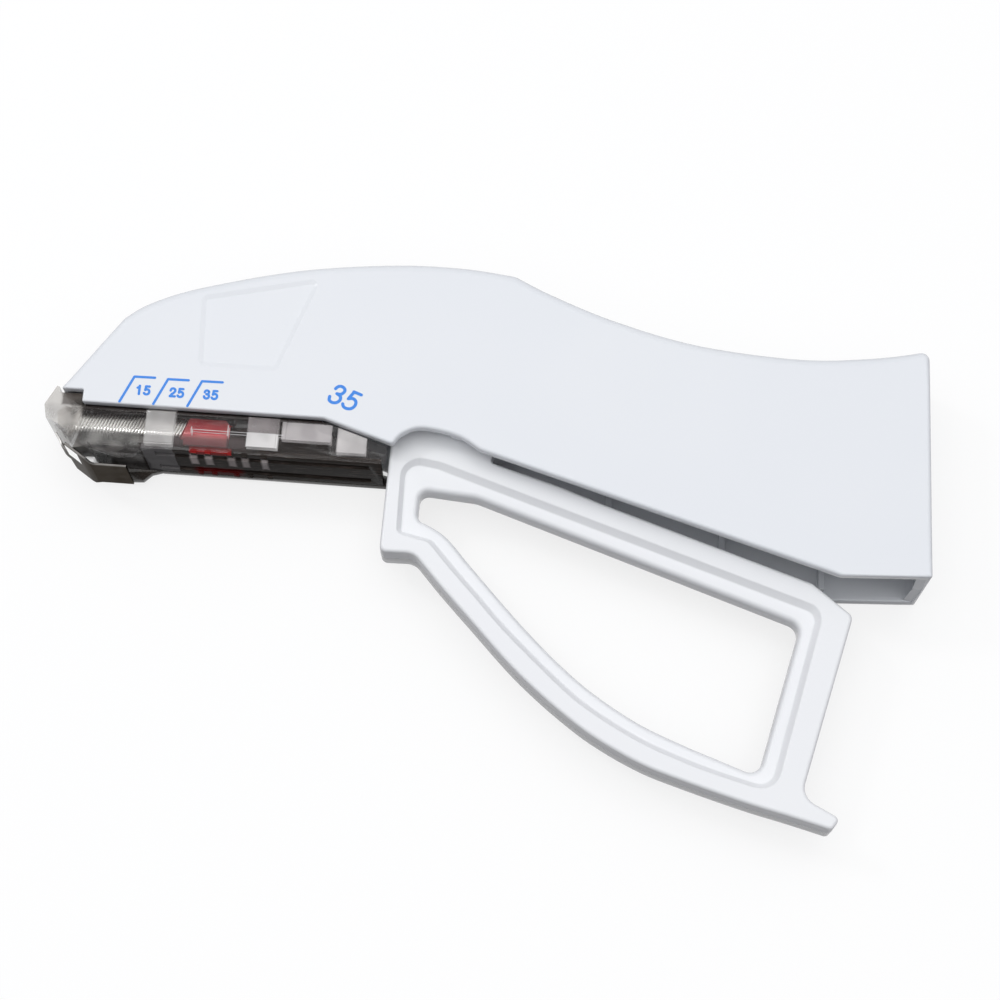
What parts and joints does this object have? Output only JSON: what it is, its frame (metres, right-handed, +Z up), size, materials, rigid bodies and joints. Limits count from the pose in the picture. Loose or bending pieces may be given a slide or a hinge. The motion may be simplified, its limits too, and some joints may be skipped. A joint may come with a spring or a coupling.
{
  "type": "skin stapler",
  "caption": "Skin stapler lying on its side: white moulded housing, looped trigger and a clear cartridge of wide wire staples fired by a rocker and former.",
  "frame": {"origin": "trigger's pivot axis where it meets the outer face of the lower (left) shell, the face that the stapler lies on", "axes": "+X along the staple cartridge from the muzzle to the rear of the grip, +Y towards the back of the housing, +Z up through the thickness, along the trigger's pivot"},
  "size_m": [0.1572, 0.0964, 0.018],
  "materials": {
    "housing_white": "glossy cold white moulded plastic",
    "trigger_white": "satin cold white moulded plastic",
    "nylon": "grey moulded nylon",
    "clear_plastic": "clear moulded plastic, faintly smoky",
    "red_plastic": "red moulded plastic",
    "steel": "stamped stainless steel and spring wire",
    "staple_steel": "bright stainless steel wire"
  },
  "bodies": {
    "housing": {"right_housing": "housing_white", "left_housing": "housing_white", "trigger_pin": "steel", "lever_pin": "steel", "cartridge_cover": "clear_plastic", "cartridge_base": "clear_plastic", "cartridge_end_cap": "clear_plastic", "anvil": "steel", "ejector_spring": "steel", "follower_spring": "steel", "return_spring": "steel", "staple_02": "staple_steel", "staple_03": "staple_steel", "staple_04": "staple_steel", "staple_05": "staple_steel", "staple_06": "staple_steel", "staple_07": "staple_steel", "staple_08": "staple_steel", "staple_09": "staple_steel", "staple_10": "staple_steel", "staple_11": "staple_steel", "staple_12": "staple_steel", "staple_13": "staple_steel", "staple_14": "staple_steel", "staple_15": "staple_steel", "staple_16": "staple_steel", "staple_17": "staple_steel", "staple_18": "staple_steel", "staple_19": "staple_steel", "staple_20": "staple_steel", "staple_21": "staple_steel", "staple_22": "staple_steel", "staple_23": "staple_steel", "staple_24": "staple_steel", "staple_25": "staple_steel", "staple_26": "staple_steel", "staple_27": "staple_steel", "staple_28": "staple_steel", "staple_29": "staple_steel", "staple_30": "staple_steel", "staple_31": "staple_steel", "staple_32": "staple_steel", "staple_33": "staple_steel", "staple_34": "staple_steel", "staple_35": "staple_steel"},
    "trigger": {"trigger": "trigger_white"},
    "drive_lever": {"drive_lever": "nylon", "drive_pin": "steel"},
    "former": {"former": "steel"},
    "first_staple": {"staple_01": "staple_steel"},
    "follower": {"follower": "red_plastic"}
  },
  "joints": [
    {"name": "trigger_squeeze", "type": "hinge", "parent": "housing", "child": "trigger", "pos_m": [0, 0, 0.009], "axis": [0, 0, 1], "range_deg": [0, 10], "stiffness_Nm_per_rad": 0.3, "springref_deg": -11.46},
    {"name": "lever_rock", "type": "hinge", "parent": "housing", "child": "drive_lever", "pos_m": [-0.0075, 0.014, 0.009], "axis": [0, 0, 1], "range_deg": [0, 8.4], "deforming": ["return_spring"]},
    {"name": "former_stroke", "type": "slide", "parent": "housing", "child": "former", "axis": [-0.309, -0.9511, 0], "range_m": [0, 0.00696]},
    {"name": "first_staple_stroke", "type": "slide", "parent": "housing", "child": "first_staple", "axis": [-0.309, -0.9511, 0], "range_m": [0, 0.0054]},
    {"name": "follower_travel", "type": "slide", "parent": "housing", "child": "follower", "axis": [1, 0, 0], "range_m": [0, 0.004], "stiffness_N_per_m": 30, "springref_m": -0.03, "deforming": ["follower_spring"]}
  ],
  "couplings": [
    {"joint": "lever_rock", "follows": "trigger_squeeze", "ratio": 0.84},
    {"joint": "former_stroke", "follows": "trigger_squeeze", "m_per_rad": 0.039866},
    {"joint": "first_staple_stroke", "follows": "trigger_squeeze", "m_per_rad": 0.030939}
  ]
}
